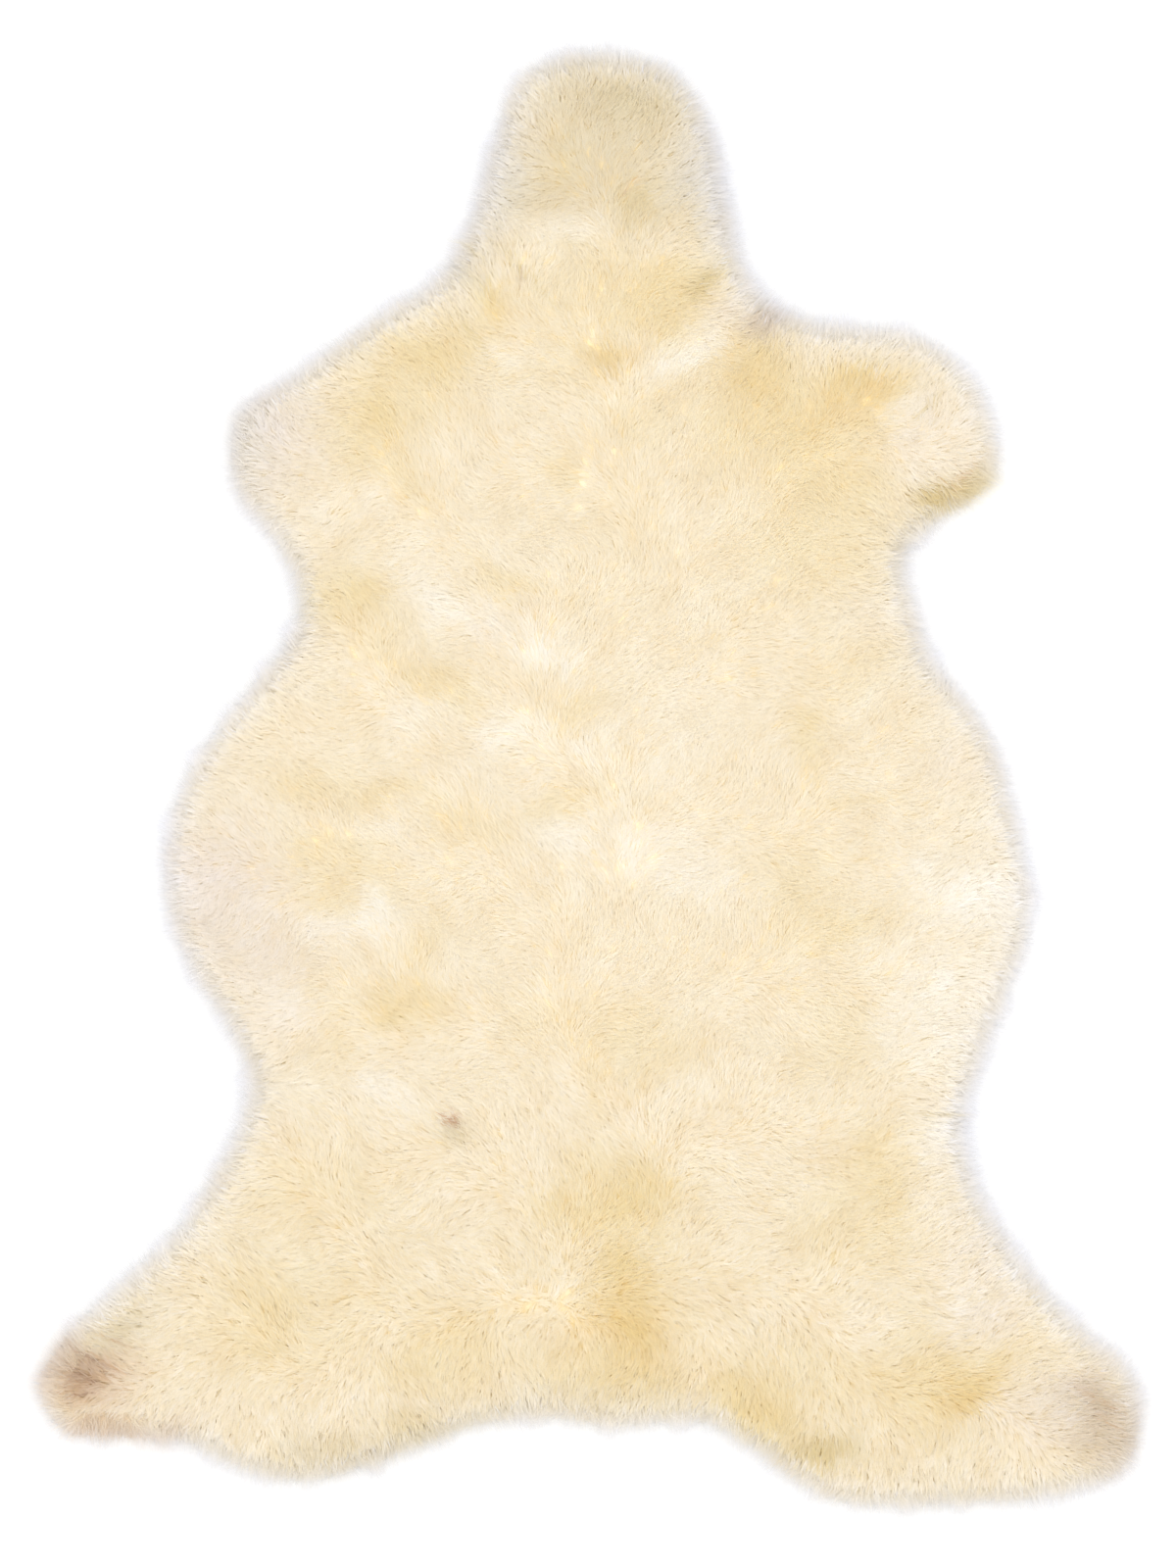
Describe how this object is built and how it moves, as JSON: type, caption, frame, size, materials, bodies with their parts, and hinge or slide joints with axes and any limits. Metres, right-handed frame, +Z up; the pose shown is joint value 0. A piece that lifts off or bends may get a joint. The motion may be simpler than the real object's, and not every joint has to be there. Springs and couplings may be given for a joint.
{
  "type": "sheepskin rug",
  "caption": "Natural-shape lambskin floor rug lying flat, wool side up: thin suede hide below, deep cream wool above, with loose locks round the rim.",
  "frame": {"origin": "on the floor plane, at the middle of the rug's bounding box", "axes": "+Y along the skin towards the head, +Z up out of the wool, +X to the right side of the skin seen with the wool up and the head away"},
  "size_m": [0.7502, 0.9928, 0.0414],
  "materials": {
    "wool": "dense soft natural lamb's wool, cream with honey-yellow patches, matt with a faint silky sheen",
    "hide": "pale tanned suede flesh side, matt"
  },
  "bodies": {
    "root": {"sheepskin": "wool"}
  },
  "joints": []
}
